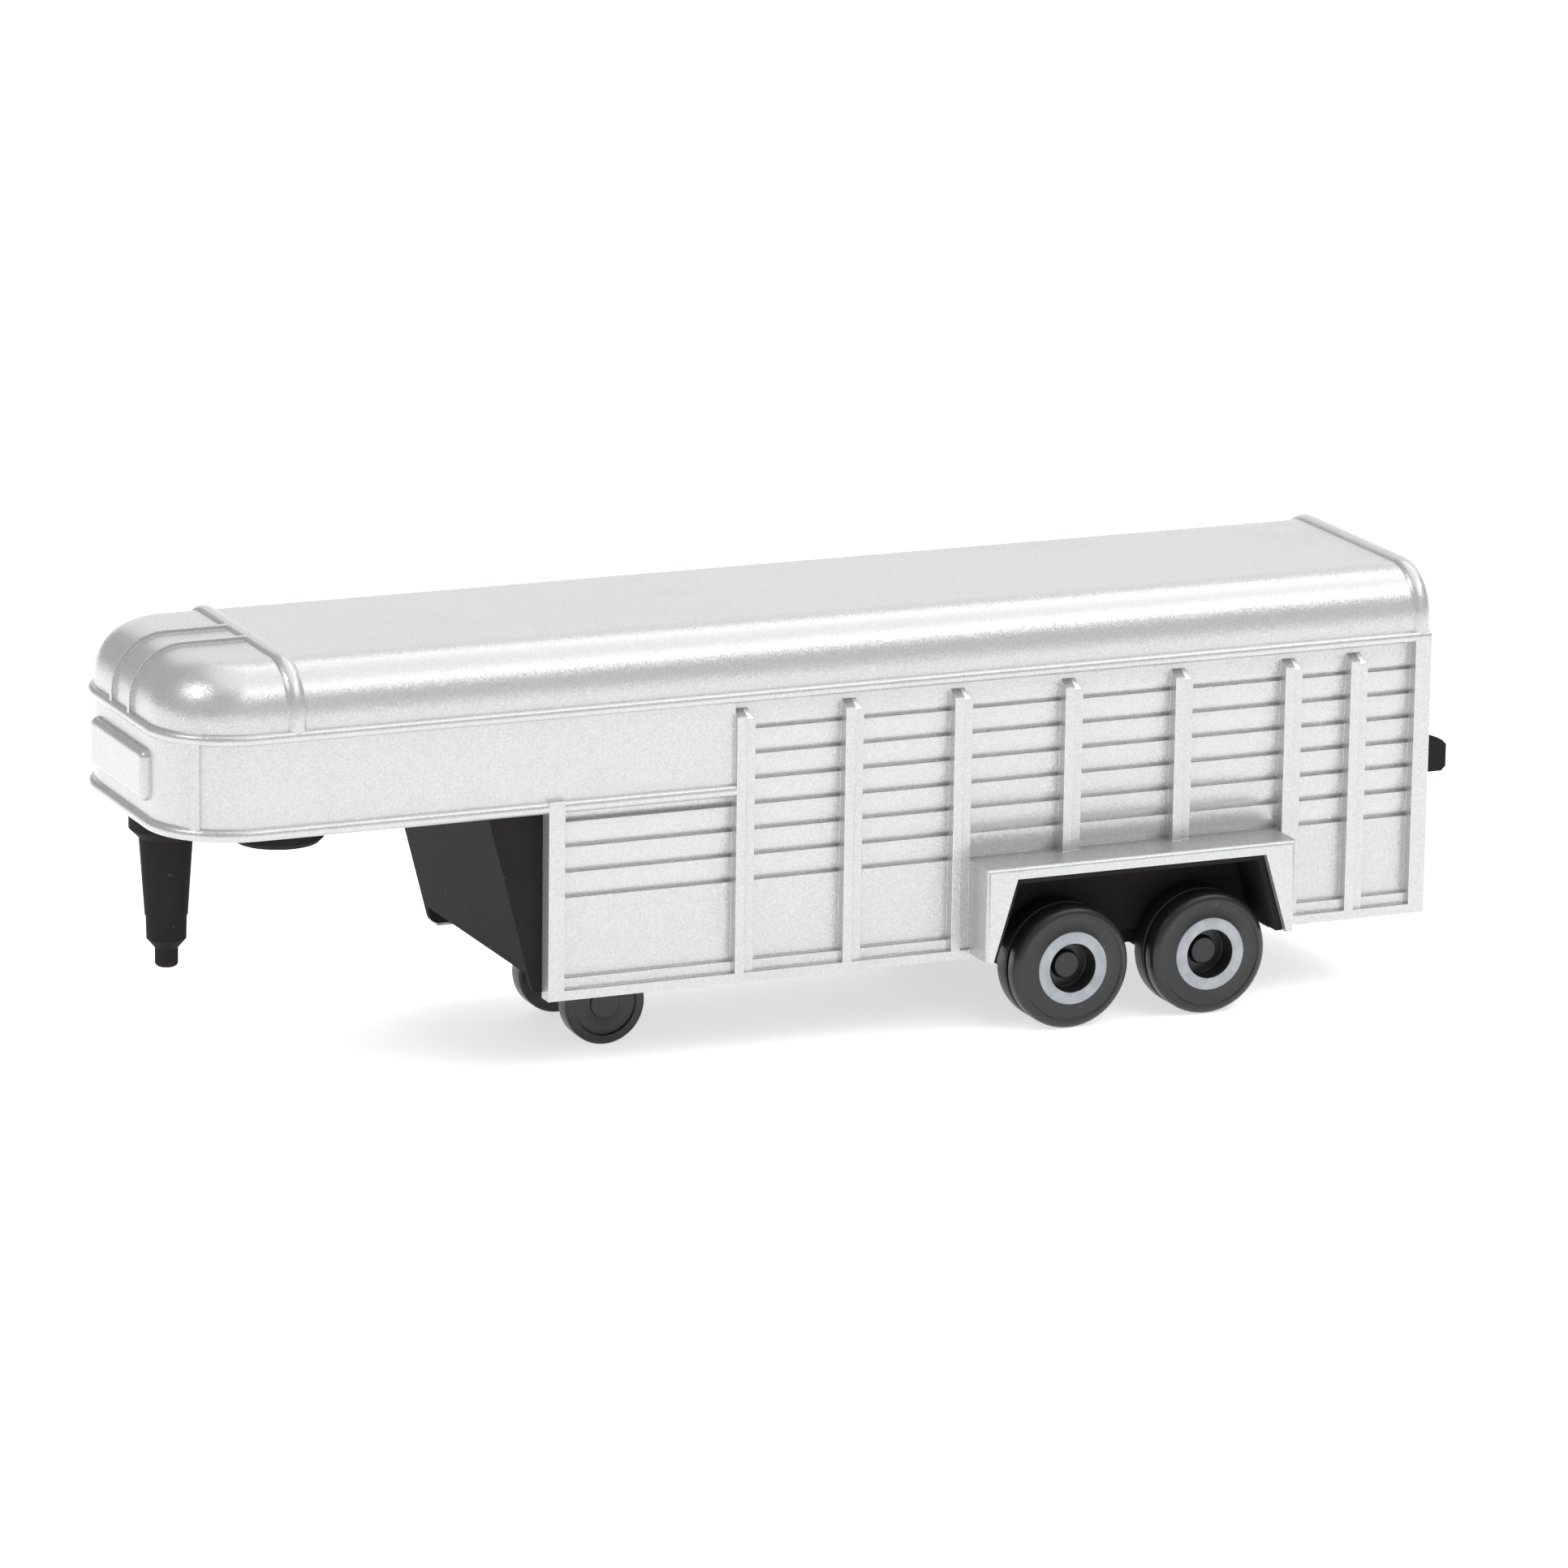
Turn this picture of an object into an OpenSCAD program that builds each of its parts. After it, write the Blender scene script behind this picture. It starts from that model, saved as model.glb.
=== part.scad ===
// Gooseneck livestock trailer, 1:64 toy: a die-cast shell on black plastic mouldings.
// X runs towards the nose, Y to the trailer's left, Z up. Heights are given above the
// bottom lip of the box, and lengths from the tail; place() then moves every piece so
// that the origin is on the ground, midway along the whole length.

/* [Box] */
// Length of the lower box, from the tail to the neck
box_len = 100.3; // [85:0.1:125]
// Width over the side ribs and rails
body_w = 33.4; // [30:0.1:42]
// Height of the flat roof
roof_h = 37.1; // [35:0.1:45]
// Height of the middle of the belt bead
belt_h = 30.1; // [26:0.1:31]
// Radius of the roof edge
roof_r = 5.4; // [3:0.1:6.5]
// Thickness of the shell behind its deepest relief
wall = 1.2; // [0.9:0.1:1.5]

/* [Side relief] */
// How far the slatted panel lies behind the ribs
slat_in = 1.2; // [0.8:0.1:1.6]
// How far the nose and roof panels lie behind the ribs
panel_in = 0.6; // [0.3:0.1:0.7]
// Number of louvre recesses in one bay
louvre_count = 7; // [3:1:7]
// Height from one louvre to the next
louvre_pitch = 2.67; // [2.2:0.01:2.8]
// Height of the crease of the top louvre
louvre_top = 27.6; // [24:0.1:28.5]
// Height of one recess
louvre_h = 1.12; // [0.8:0.01:1.5]
// Depth of one recess at its ledge
louvre_in = 0.5; // [0.3:0.05:1]
// Distance of the first rib from the tail
rib_start = 8.4; // [6:0.1:10]
// Distances between ribs, from the tail towards the nose
rib_bays = [7.7, 12.8, 12.7, 12.6, 12.3, 12.1];
// Width of a rib with its flange
rib_w = 2.14; // [1.6:0.02:2.6]
// Width of the raised part of a rib
rib_crest_w = 1.03; // [0.7:0.01:1.4]
// How far the flange lies below the crest
rib_flange_in = 0.35; // [0.1:0.05:0.6]
// Height of the bottom lip
lip_h = 1.0; // [0.7:0.1:1.5]
// Height of the top of the rail above the lip
rail_top = 2.15; // [1.6:0.05:2.6]
// Width of the upright frame at the tail
tail_frame_w = 1.85; // [1.4:0.05:2.4]
// Width of the upright frame at the neck
neck_frame_w = 1.75; // [1.4:0.05:2.4]

/* [Nose] */
// Length of the nose in front of the box
nose_len = 39.7; // [36:0.1:48]
// Height of the underside of the nose
nose_floor_h = 19.65; // [17:0.05:21]
// Radius of the nose corners, seen from above
nose_r = 8.4; // [7:0.1:10]
// Height of the rail along the bottom of the nose
nose_rail_h = 1.35; // [1:0.05:2]
// Height of the belt bead
belt_bead_h = 1.25; // [0.8:0.05:1.6]
// How far rails and beads stand out from the nose panels
bead_out = 0.6; // [0.3:0.05:0.7]
// Width of the raised front window panel
window_w = 16.2; // [10:0.1:17]
// Height of the window panel
window_h = 5.3; // [4:0.1:6]
// Height of the middle of the window panel
window_mid = 25.2; // [24:0.1:26]
// How far the window panel stands out
window_out = 0.9; // [0.5:0.05:1.2]
// Radius of the window panel's edges
window_edge_r = 0.8; // [0.3:0.05:1]
// Width of a roof hoop
hoop_w = 1.95; // [1.4:0.05:2.6]
// How far a roof hoop stands out
hoop_out = 0.5; // [0.3:0.05:0.8]
// Distance of the front hoop from the nose
front_hoop_back = 12.8; // [10:0.1:16]
// Distance of each roof ridge from the middle
ridge_y = 2.7; // [2:0.1:4]
// Width of a roof ridge
ridge_w = 0.5; // [0.4:0.05:0.8]
// How far a roof ridge stands out
ridge_out = 0.4; // [0.2:0.05:0.5]

/* [Fenders and running gear] */
// Distance of the fender's rear face from the tail
fender_start = 17.5; // [17:0.1:19]
// Length of a fender
fender_len = 35.7; // [34.5:0.1:37]
// How far a fender stands out from the ribs
fender_out = 4.2; // [3.8:0.1:5.5]
// Height of the top of a fender
fender_top = 10.5; // [10:0.1:11.5]
// Height of the lower end of a fender
fender_bottom = 0.6; // [0.2:0.1:1.2]
// Height of the top of the fender opening
opening_top = 9.25; // [8.8:0.05:9.6]
// Width of the fender face at the foot of the opening
opening_foot = 0.9; // [0.6:0.1:1.4]
// Width of the fender face at the top of the opening
opening_head = 3.5; // [2:0.1:4]
// Diameter of a main wheel
wheel_d = 13.2; // [11:0.1:13.6]
// Width of a main wheel
wheel_w = 5.0; // [3.5:0.1:5.2]
// Distance between the two axles
axle_gap = 15.9; // [14.2:0.1:16.4]
// Distance of the rear axle from the tail
axle_start = 26.7; // [26.2:0.1:27]
// How far the axles lie below the bottom lip
axle_drop = 1.3; // [0.8:0.1:2]
// Diameter of the main axles
axle_d = 1.6; // [1.2:0.05:2]
// Diameter of a support wheel
dolly_d = 8.8; // [7.5:0.1:9.4]
// Width of a support wheel
dolly_w = 2.4; // [1.6:0.1:3]
// Distance between the middles of the support wheels
dolly_gap = 13.0; // [12:0.1:16]
// Distance of the support axle behind the neck
dolly_back = 10.0; // [8:0.1:16]
// Diameter of the support axle
dolly_axle_d = 1.2; // [1:0.05:1.6]

/* [Bulkhead and hitch] */
// Lean of the bulkhead, in millimetres forward for each millimetre up
bulkhead_lean = 0.26; // [0:0.01:0.4]
// How far the foot of the bulkhead stands in front of the neck
bulkhead_foot = 0.8; // [0.4:0.1:2]
// Height of the lower edge of the bulkhead's front
bulkhead_front_h = 2.5; // [1.6:0.1:4]
// Height of the lower edge of the bulkhead's sides
bulkhead_side_h = 0.6; // [0.3:0.1:2]
// Radius of the lower front corner of the bulkhead's sides
bulkhead_corner_r = 1.0; // [0.5:0.1:1.5]
// Thickness of the plastic mouldings
plastic_t = 1.0; // [0.8:0.1:1.2]
// Distance of the hitch post from the nose
post_back = 4.5; // [4.2:0.1:8]
// Diameter of the hitch post below its collar
post_top_d = 5.55; // [4.5:0.05:6.5]
// Diameter of the hitch post above its pin
post_end_d = 4.1; // [3:0.05:4.4]
// Height of the lower end of the hitch post
post_end_h = 6.0; // [4.5:0.1:8]
// Diameter of the collar
collar_d = 7.6; // [7:0.1:8]
// Diameter of the hitch pin
pin_d = 2.4; // [2:0.05:2.8]
// Height of the tip of the hitch pin
pin_tip_h = 3.0; // [1.5:0.1:4]
// Distance of the round boss from the nose
boss_back = 16.5; // [14.5:0.1:22]
// Diameter of the round boss
boss_d = 9.65; // [8:0.05:11]
// Height of the underside of the round boss
boss_h = 15.2; // [13:0.1:17]

/* [Tail gate] */
// Thickness of the gate
gate_t = 1.4; // [1.1:0.1:1.6]
// Gap around the gate
gate_gap = 0.3; // [0.2:0.05:0.5]
// Diameter of the hinge pin
hinge_d = 1.0; // [0.8:0.05:1.2]
// How far the thumb tab stands out behind the tail
tab_out = 3.5; // [2:0.1:5]
// Height of the lower edge of the thumb tab
tab_low = 14.6; // [12:0.1:16]
// Height of the thumb tab at its root
tab_root_h = 4.8; // [3:0.1:6]
// Height of the thumb tab at its tip
tab_tip_h = 3.4; // [2:0.1:5]

/* [Fits] */
// Radial clearance of an axle or pin that turns
run_gap = 0.05; // [0.02:0.01:0.1]
// Gap between mouldings that are fixed together
seat_gap = 0.1; // [0.05:0.01:0.2]

/* [Hidden] */
$fn = 64;

silver = [0.78, 0.79, 0.8];
black = [0.12, 0.12, 0.12];
steel = [0.7, 0.7, 0.72];
ring_grey = [0.72, 0.74, 0.77];

half_w = body_w/2;
slat_y = half_w - slat_in;
panel_y = half_w - panel_in;
inner_y = slat_y - louvre_in - wall;
nose_x = box_len + nose_len;
corner_x = nose_x - nose_r;
corner_y = panel_y - nose_r;
overlap = 0.2;

function sum_to(list, n) = n == 0 ? 0 : list[n - 1] + sum_to(list, n - 1);
rib_xs = [for (i = [0:len(rib_bays)]) rib_start + sum_to(rib_bays, i)];
first_bay_x = rib_xs[len(rib_bays)] + rib_w/2;
rib_top = louvre_top + 1.2;
rib_bevel = 0.75;
rib_groove_w = 0.14;
rib_hip = 1.3;
front_bay_louvres = min(4, louvre_count);

wheel_r = wheel_d/2;
axle_z = -axle_drop;
ground_h = wheel_r + axle_drop;
axle_xs = [axle_start, axle_start + axle_gap];
fender_y = half_w + fender_out;
fender_end = fender_start + fender_len;
fender_skin = 0.8;
fender_inner_y = fender_y - fender_skin;
well_margin = 0.9;
well_top = opening_top + 0.15;
well_inner_y = inner_y - 0.7;
wheel_out_y = fender_inner_y - 0.4;
wheel_in_y = wheel_out_y - wheel_w;
liner_t = 0.8;

dolly_x = box_len - dolly_back;
dolly_z = dolly_d/2 - ground_h;
dolly_in_y = (dolly_gap - dolly_w)/2;

floor_low = dolly_d - ground_h + 0.4;
floor_t = 1.2;
floor_top = floor_low + floor_t;

gate_x = 0.2;
gate_seat_x = gate_x + gate_t + gate_gap;
gate_open_y = half_w - 2.1;
gate_open_low = lip_h + 0.1;
gate_open_top = roof_h - 1.5;
gate_open_r = roof_r - 1.5;
hinge_x = gate_x + gate_t/2;
knuckle_r = gate_t/2 + 0.2;
hinge_y = -(gate_open_y - gate_gap - knuckle_r);
knuckle_top = gate_open_top - gate_open_r - 0.6;
hinge_roof_z = roof_h - roof_r + sqrt(pow(roof_r, 2) - pow(roof_r - (panel_y + hinge_y), 2));
hinge_pin_top = hinge_roof_z - 0.7;

bulkhead_w = 2*(panel_y - wall - seat_gap);

post_x = nose_x - post_back;
boss_x = nose_x - boss_back;
nose_plate_t = 1.0;
nose_plate_low = nose_floor_h + 0.4;
nose_plate_top = nose_plate_low + nose_plate_t;
rivet_r = 0.9;
rivet_head_r = 1.5;
rivet_head_t = 0.5;
peen_out = 0.4;
peen_h = 0.4;
rivet_xs = [12, 62];

tail_x = -tab_out;
front_x = nose_x + max(window_out, bead_out);
mid_x = (tail_x + front_x)/2;

module place() {
    translate([-mid_x, 0, ground_h]) children();
}

module both_sides() {
    children();
    mirror([0, 1, 0]) children();
}

// A block between two X stations, two Y stations and two heights
module span(xs, ys, zs) {
    translate([xs[0], ys[0], zs[0]]) cube([xs[1] - xs[0], ys[1] - ys[0], zs[1] - zs[0]]);
}

// Half of an arched section: flat top, one rounded shoulder
module shoulder(w, h, r) {
    square([w - r, h]);
    square([w, h - r]);
    translate([w - r, h - r]) circle(r);
}

// A whole arched section, w each side of the middle and h high
module arch(w, h, r) {
    shoulder(w, h, r);
    mirror([1, 0]) shoulder(w, h, r);
}

// Plan of the nose: straight sides and two round corners, set in by a margin
module nose_plan(inset, x0) {
    w = panel_y - inset;
    r = nose_r - inset;
    translate([x0, -w]) square([corner_x - x0, 2*w]);
    translate([x0, -corner_y]) square([nose_x - inset - x0, 2*corner_y]);
    for (s = [-1, 1]) translate([corner_x, s*corner_y]) circle(r);
}

// What a round edge of radius r takes off a square one
module edge_waste(r) {
    difference() {
        square(r + 1);
        circle(r);
    }
}

// Roof block with round edges along both sides and over the nose, set in by a margin
module roof_block(inset, x0, z0) {
    w = panel_y - inset;
    r = roof_r - inset;
    top = roof_h - inset;
    nr = nose_r - inset;
    difference() {
        translate([0, 0, z0]) linear_extrude(top - z0) nose_plan(inset, x0);
        both_sides() {
            translate([x0 - 1, w - r, top - r]) rotate([90, 0, 90])
                linear_extrude(corner_x - x0 + 1) edge_waste(r);
            translate([corner_x, corner_y, top - r]) rotate_extrude(angle = 90)
                translate([nr - r, 0]) edge_waste(r);
        }
        translate([nose_x - inset - r, 0, top - r]) rotate([90, 0, 0])
            linear_extrude(2*corner_y, center = true) edge_waste(r);
    }
}

// Section of a round bead: a segment of a circle, out proud and h high, grown on a base
module bead_section(h, out) {
    r = (pow(out, 2) + pow(h/2, 2))/(2*out);
    intersection() {
        translate([out - r, 0]) circle(r);
        translate([-overlap, -h/2]) square([out + overlap, h]);
    }
}

// A bead along both sides and around the nose
module nose_bead(z, h, out, x0) {
    both_sides() translate([x0, panel_y, z]) rotate([90, 0, 90])
        linear_extrude(corner_x - x0) bead_section(h, out);
    translate([nose_x, 0, z]) rotate([90, 0, 0])
        linear_extrude(2*corner_y, center = true) bead_section(h, out);
    both_sides() translate([corner_x, corner_y, z]) rotate_extrude(angle = 90)
        translate([nose_r, 0]) bead_section(h, out);
}

// A hoop from the belt over the roof, its middle at x
module roof_hoop(x) {
    arc_y = panel_y - roof_r;
    arc_z = roof_h - roof_r;
    both_sides() {
        translate([x, panel_y, belt_h]) linear_extrude(arc_z - belt_h) hoop_section();
        translate([x, arc_y, arc_z]) rotate([0, -90, 0]) rotate_extrude(angle = 90)
            translate([roof_r, 0]) bead_section(hoop_w, hoop_out);
    }
    translate([x, 0, roof_h]) rotate([90, 0, 0]) linear_extrude(2*arc_y, center = true)
        hoop_section();
}

// The hoop's section with its width across X and its height up Y
module hoop_section() {
    rotate(90) bead_section(hoop_w, hoop_out);
}

// A thin ridge over the roof and down the front of the nose
module roof_ridge(y) {
    x0 = nose_x - front_hoop_back;
    h = roof_h - belt_h;
    translate([0, y, belt_h]) rotate([90, 0, 0]) linear_extrude(ridge_w, center = true)
        difference() {
            union() {
                translate([corner_x, 0]) shoulder(nose_r + ridge_out, h + ridge_out, roof_r + ridge_out);
                translate([x0, 0]) square([corner_x - x0, h + ridge_out]);
            }
            translate([corner_x, -1]) shoulder(nose_r - overlap, h - overlap + 1, roof_r - overlap);
            translate([x0 - 1, -1]) square([corner_x - x0 + 1.1, h - overlap + 1]);
        }
}

// The raised window panel, with round edges
module window_panel() {
    r = window_edge_r;
    w = window_w/2 - r;
    h = window_h/2 - r;
    x = nose_x + window_out - r;
    translate([x, 0, window_mid]) {
        translate([-window_out, -w, -h]) cube([window_out + r, 2*w, 2*h]);
        translate([-window_out, -w - r, -h]) cube([window_out, 2*(w + r), 2*h]);
        translate([-window_out, -w, -h - r]) cube([window_out, 2*w, 2*(h + r)]);
        for (s = [-1, 1]) {
            translate([0, s*w, -h]) cylinder(r = r, h = 2*h);
            translate([0, -w, s*h]) rotate([-90, 0, 0]) cylinder(r = r, h = 2*w);
            for (t = [-1, 1]) translate([0, s*w, t*h]) {
                sphere(r);
                rotate([0, -90, 0]) cylinder(r = r, h = window_out);
            }
        }
    }
}

// An upright rib with a bevelled top and a lower flange on its tail side
module side_rib(x) {
    module strip(x0, w, y) {
        translate([x0, 0, 0]) rotate([90, 0, 90]) linear_extrude(w)
            polygon([[inner_y, 0], [y, 0], [y, rib_top - rib_bevel - (half_w - y)],
                [slat_y, rib_top], [inner_y, rib_top]]);
    }
    difference() {
        strip(x - rib_w/2, rib_w - rib_crest_w + 0.01, half_w - rib_flange_in);
        translate([x + rib_w/2 - rib_crest_w - rib_groove_w, half_w - rib_flange_in - rib_groove_w, -1])
            cube([rib_groove_w, 1, rib_top + 2]);
        translate([x - rib_w/2, 0, rib_top - rib_hip]) rotate([90, 0, 0]) translate([0, 0, -half_w])
            linear_extrude(half_w - slat_y) polygon([[-1, 0], [0, 0], [rib_hip/2, rib_hip], [-1, rib_hip + 1]]);
    }
    strip(x + rib_w/2 - rib_crest_w, rib_crest_w, half_w);
}

// Louvre recesses of one side: each slopes in from its crease down to a ledge
module louvres() {
    for (i = [0:louvre_count - 1]) {
        z = louvre_top - i*louvre_pitch;
        x1 = i < louvre_count - front_bay_louvres ? first_bay_x - rib_w/2 : box_len - neck_frame_w/2;
        translate([tail_frame_w/2, 0, 0]) rotate([90, 0, 90]) linear_extrude(x1 - tail_frame_w/2)
            polygon([[slat_y, z], [slat_y - louvre_in, z - louvre_h],
                [slat_y + overlap, z - louvre_h], [slat_y + overlap, z]]);
    }
}

// Upright strip that joins the belt to the rail at each nose corner
module nose_seam() {
    seam_angle = 45;
    seam_span = 6.5;
    translate([corner_x, corner_y, nose_floor_h + 0.5]) rotate(seam_angle)
        rotate_extrude(angle = seam_span)
            translate([nose_r - overlap, 0]) square([overlap + 0.35, belt_h - nose_floor_h - 0.5]);
}

module lower_box() {
    difference() {
        span([0, box_len], [-slat_y, slat_y], [0, belt_h]);
        both_sides() louvres();
    }
    both_sides() {
        for (x = rib_xs) side_rib(x);
        span([0, box_len], [inner_y, half_w], [0, lip_h]);
        span([0, box_len], [inner_y, panel_y], [0, rail_top]);
        span([0, tail_frame_w], [inner_y, half_w], [0, belt_h]);
        span([box_len - neck_frame_w, box_len], [inner_y, half_w], [0, nose_floor_h + nose_rail_h]);
        span([fender_start, fender_end], [inner_y, fender_y], [fender_bottom, fender_top]);
    }
}

// Outline of the opening in the fender's face, from below its foot up to z
module fender_opening(x_margin, z) {
    slope = (opening_head - opening_foot)/(opening_top - fender_bottom);
    low = -ground_h;
    low_in = opening_foot + slope*(low - fender_bottom) + x_margin;
    top_in = opening_foot + slope*(z - fender_bottom) + x_margin;
    polygon([[fender_start + low_in, low], [fender_start + top_in, z],
        [fender_end - top_in, z], [fender_end - low_in, low]]);
}

module wheel_well() {
    span([fender_start + well_margin, fender_end - well_margin], [well_inner_y, fender_inner_y], [-1, well_top]);
    translate([0, fender_y + 1, 0]) rotate([90, 0, 0]) linear_extrude(fender_out) fender_opening(0, opening_top);
}

// Outline of the tail opening, w each side of the middle, with round upper corners
module tail_outline(w, low, top, r) {
    translate([0, low]) arch(w, top - low, r);
}

module cavity() {
    side_top = roof_h - roof_r - 0.3;
    roof_block(wall, gate_seat_x, side_top - 0.3);
    translate([0, 0, nose_floor_h - 1]) linear_extrude(side_top + 1 - nose_floor_h)
        nose_plan(wall, box_len - neck_frame_w);
    span([gate_seat_x, box_len + 1], [-inner_y, inner_y], [lip_h, side_top]);
    span([gate_seat_x, box_len + 1], [-inner_y, inner_y], [-1, lip_h + 0.5]);
    span([box_len - 2.6, box_len + 1], [-bulkhead_w/2 - seat_gap, bulkhead_w/2 + seat_gap],
        [-1, nose_floor_h + 1]);
    translate([-1, 0, 0]) rotate([90, 0, 90]) linear_extrude(gate_seat_x + 1)
        tail_outline(gate_open_y, gate_open_low, gate_open_top, gate_open_r);
    translate([gate_seat_x - 0.1, 0, 0]) rotate([90, 0, 90]) linear_extrude(0.6)
        tail_outline(inner_y, gate_open_low + 0.6, gate_open_top - 0.4, gate_open_r);
}

module body_shell() {
    color(silver) place() difference() {
        union() {
            lower_box();
            translate([0, 0, nose_floor_h]) linear_extrude(belt_h - nose_floor_h) nose_plan(0, first_bay_x);
            roof_block(0, 0, belt_h);
            nose_bead(belt_h, belt_bead_h, bead_out, 0);
            nose_bead(nose_floor_h + nose_rail_h/2, nose_rail_h, bead_out, first_bay_x);
            roof_hoop(hoop_w/2);
            roof_hoop(nose_x - front_hoop_back);
            for (s = [-1, 1]) roof_ridge(s*ridge_y);
            window_panel();
            both_sides() nose_seam();
        }
        cavity();
        both_sides() wheel_well();
        translate([hinge_x, hinge_y, -1]) cylinder(d = hinge_d + 0.02, h = hinge_pin_top + 1);
    }
}

module rivet_holes(xs, z0, z1) {
    for (x = xs) translate([x, 0, z0]) cylinder(r = rivet_r, h = z1 - z0);
}

module floor_pan() {
    side = inner_y - seat_gap;
    color(black) place() difference() {
        span([gate_seat_x + gate_gap, box_len - 0.6], [-side, side], [floor_low, floor_top]);
        both_sides() span([fender_start, fender_end], [well_inner_y - seat_gap, side + 1],
            [floor_low - 1, floor_top + 1]);
        rivet_holes(rivet_xs, floor_low - 1, floor_top + 1);
        for (x = rivet_xs) translate([x, 0, floor_top - peen_h])
            cylinder(r = rivet_r + peen_out + seat_gap, h = 1);
    }
}

// A leaning front plate with a side plate at each end, open below and behind
module bulkhead() {
    w = bulkhead_w/2;
    top = nose_plate_low - seat_gap;
    foot_x = box_len + bulkhead_foot;
    function lean(z) = foot_x + bulkhead_lean*z;
    module side_view(setback, low) {
        r = bulkhead_corner_r;
        slant = atan(bulkhead_lean);
        corner = [lean(low + r) - setback - r/cos(slant), low + r];
        rotate([90, 0, 0]) linear_extrude(bulkhead_w, center = true) {
            translate(corner) circle(r);
            polygon([[box_len - 2.4, low], [corner[0], low], corner,
                corner + r*[cos(slant), -sin(slant)], [lean(top) - setback, top], [box_len - 2.4, top]]);
        }
    }
    color(black) place() difference() {
        side_view(0, bulkhead_side_h);
        intersection() {
            side_view(plastic_t, -1);
            span([0, nose_x], [-w + plastic_t, w - plastic_t], [-2, top + 1]);
        }
        span([box_len - 3, nose_x], [-w + plastic_t, w - plastic_t], [-2, bulkhead_front_h]);
    }
}

module nose_base() {
    hole_r = post_top_d/2 - 0.6;
    color(black) place() difference() {
        union() {
            translate([0, 0, nose_plate_low]) linear_extrude(nose_plate_t)
                nose_plan(wall + seat_gap, box_len + 0.6);
            translate([boss_x, 0, boss_h + 0.5]) cylinder(d = boss_d, h = nose_plate_low - boss_h - 0.4);
            translate([boss_x, 0, boss_h]) cylinder(d1 = boss_d - 1, d2 = boss_d, h = 0.51);
        }
        rivet_holes([boss_x], boss_h - 1, nose_plate_top + 1);
        translate([boss_x, 0, boss_h - 1]) cylinder(r = rivet_head_r + seat_gap, h = 1 + rivet_head_t + 0.3);
        translate([post_x, 0, nose_plate_low - 1]) cylinder(r = hole_r + 0.02, h = nose_plate_t + 2);
    }
}

// The post: a spigot in the plate, a collar, a taper with a step, and the hitch pin
module hitch_post() {
    top_r = post_top_d/2;
    end_r = post_end_d/2;
    pin_r = pin_d/2;
    spigot_r = top_r - 0.6;
    collar_r = collar_d/2;
    collar_low = nose_floor_h - 2;
    collar_top = nose_floor_h - seat_gap;
    neck_r = top_r + 0.3;
    step_h = post_end_h + 2.4;
    step_r = end_r + (top_r - end_r)*(step_h - post_end_h)/(collar_low - 1 - post_end_h);
    tip_r = 0.5;
    color(black) place() translate([post_x, 0, 0]) rotate_extrude() difference() {
        union() {
            polygon([[0, pin_tip_h + tip_r], [pin_r, pin_tip_h + tip_r], [pin_r, post_end_h - 1],
                [end_r, post_end_h], [step_r - 0.1, step_h], [step_r, step_h + 0.1],
                [top_r, collar_low - 1], [collar_r, collar_low], [collar_r, collar_top],
                [neck_r, collar_top], [neck_r, nose_plate_low], [spigot_r, nose_plate_low],
                [spigot_r, nose_plate_top + 0.3], [0, nose_plate_top + 0.3]]);
            translate([0, pin_tip_h]) square([pin_r - tip_r, 1]);
            translate([pin_r - tip_r, pin_tip_h + tip_r]) circle(tip_r);
        }
        translate([-2, 0]) square([2, roof_h]);
    }
}

// An arch that lines the fender, with raked ends and a wall on the inner side
module wheel_liner() {
    y0 = well_inner_y;
    y1 = fender_inner_y - seat_gap;
    x0 = fender_start + well_margin + seat_gap;
    x1 = fender_end - well_margin - seat_gap;
    top = well_top - seat_gap;
    difference() {
        span([x0, x1], [y0, y1], [fender_bottom, top]);
        translate([0, y1 + 1, 0]) rotate([90, 0, 0]) linear_extrude(y1 - y0 - liner_t + 1)
            fender_opening(0.8, top - liner_t);
    }
}

module wheel_liner_left() {
    color(black) place() wheel_liner();
}

module wheel_liner_right() {
    color(black) place() mirror([0, 1, 0]) wheel_liner();
}

// Block under the floor that carries both main axles
module axle_carrier() {
    color(black) place() difference() {
        span([axle_xs[0] - 4, axle_xs[1] + 4], [-well_inner_y + 0.8, well_inner_y - 0.8],
            [axle_z - 1.8, floor_low]);
        for (x = axle_xs) translate([x, 0, axle_z]) rotate([90, 0, 0])
            cylinder(d = axle_d + 2*run_gap, h = 2*half_w, center = true);
        span([axle_xs[0] + 3, axle_xs[1] - 3], [-half_w, half_w], [axle_z - 3, axle_z]);
    }
}

// Block under the floor that carries the support axle
module support_bracket() {
    w = dolly_in_y - 0.5;
    color(black) place() difference() {
        union() {
            span([dolly_x - 3, dolly_x + 3], [-w, w], [dolly_z, floor_low]);
            translate([dolly_x, 0, dolly_z]) rotate([90, 0, 0]) cylinder(r = 1.9, h = 2*w, center = true);
        }
        translate([dolly_x, 0, dolly_z]) rotate([90, 0, 0])
            cylinder(d = dolly_axle_d + 2*run_gap, h = 3*w, center = true);
        span([dolly_x - 4, dolly_x + 4], [-w + 1.6, w - 1.6], [dolly_z - 3, dolly_z + 2.4]);
    }
}

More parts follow.
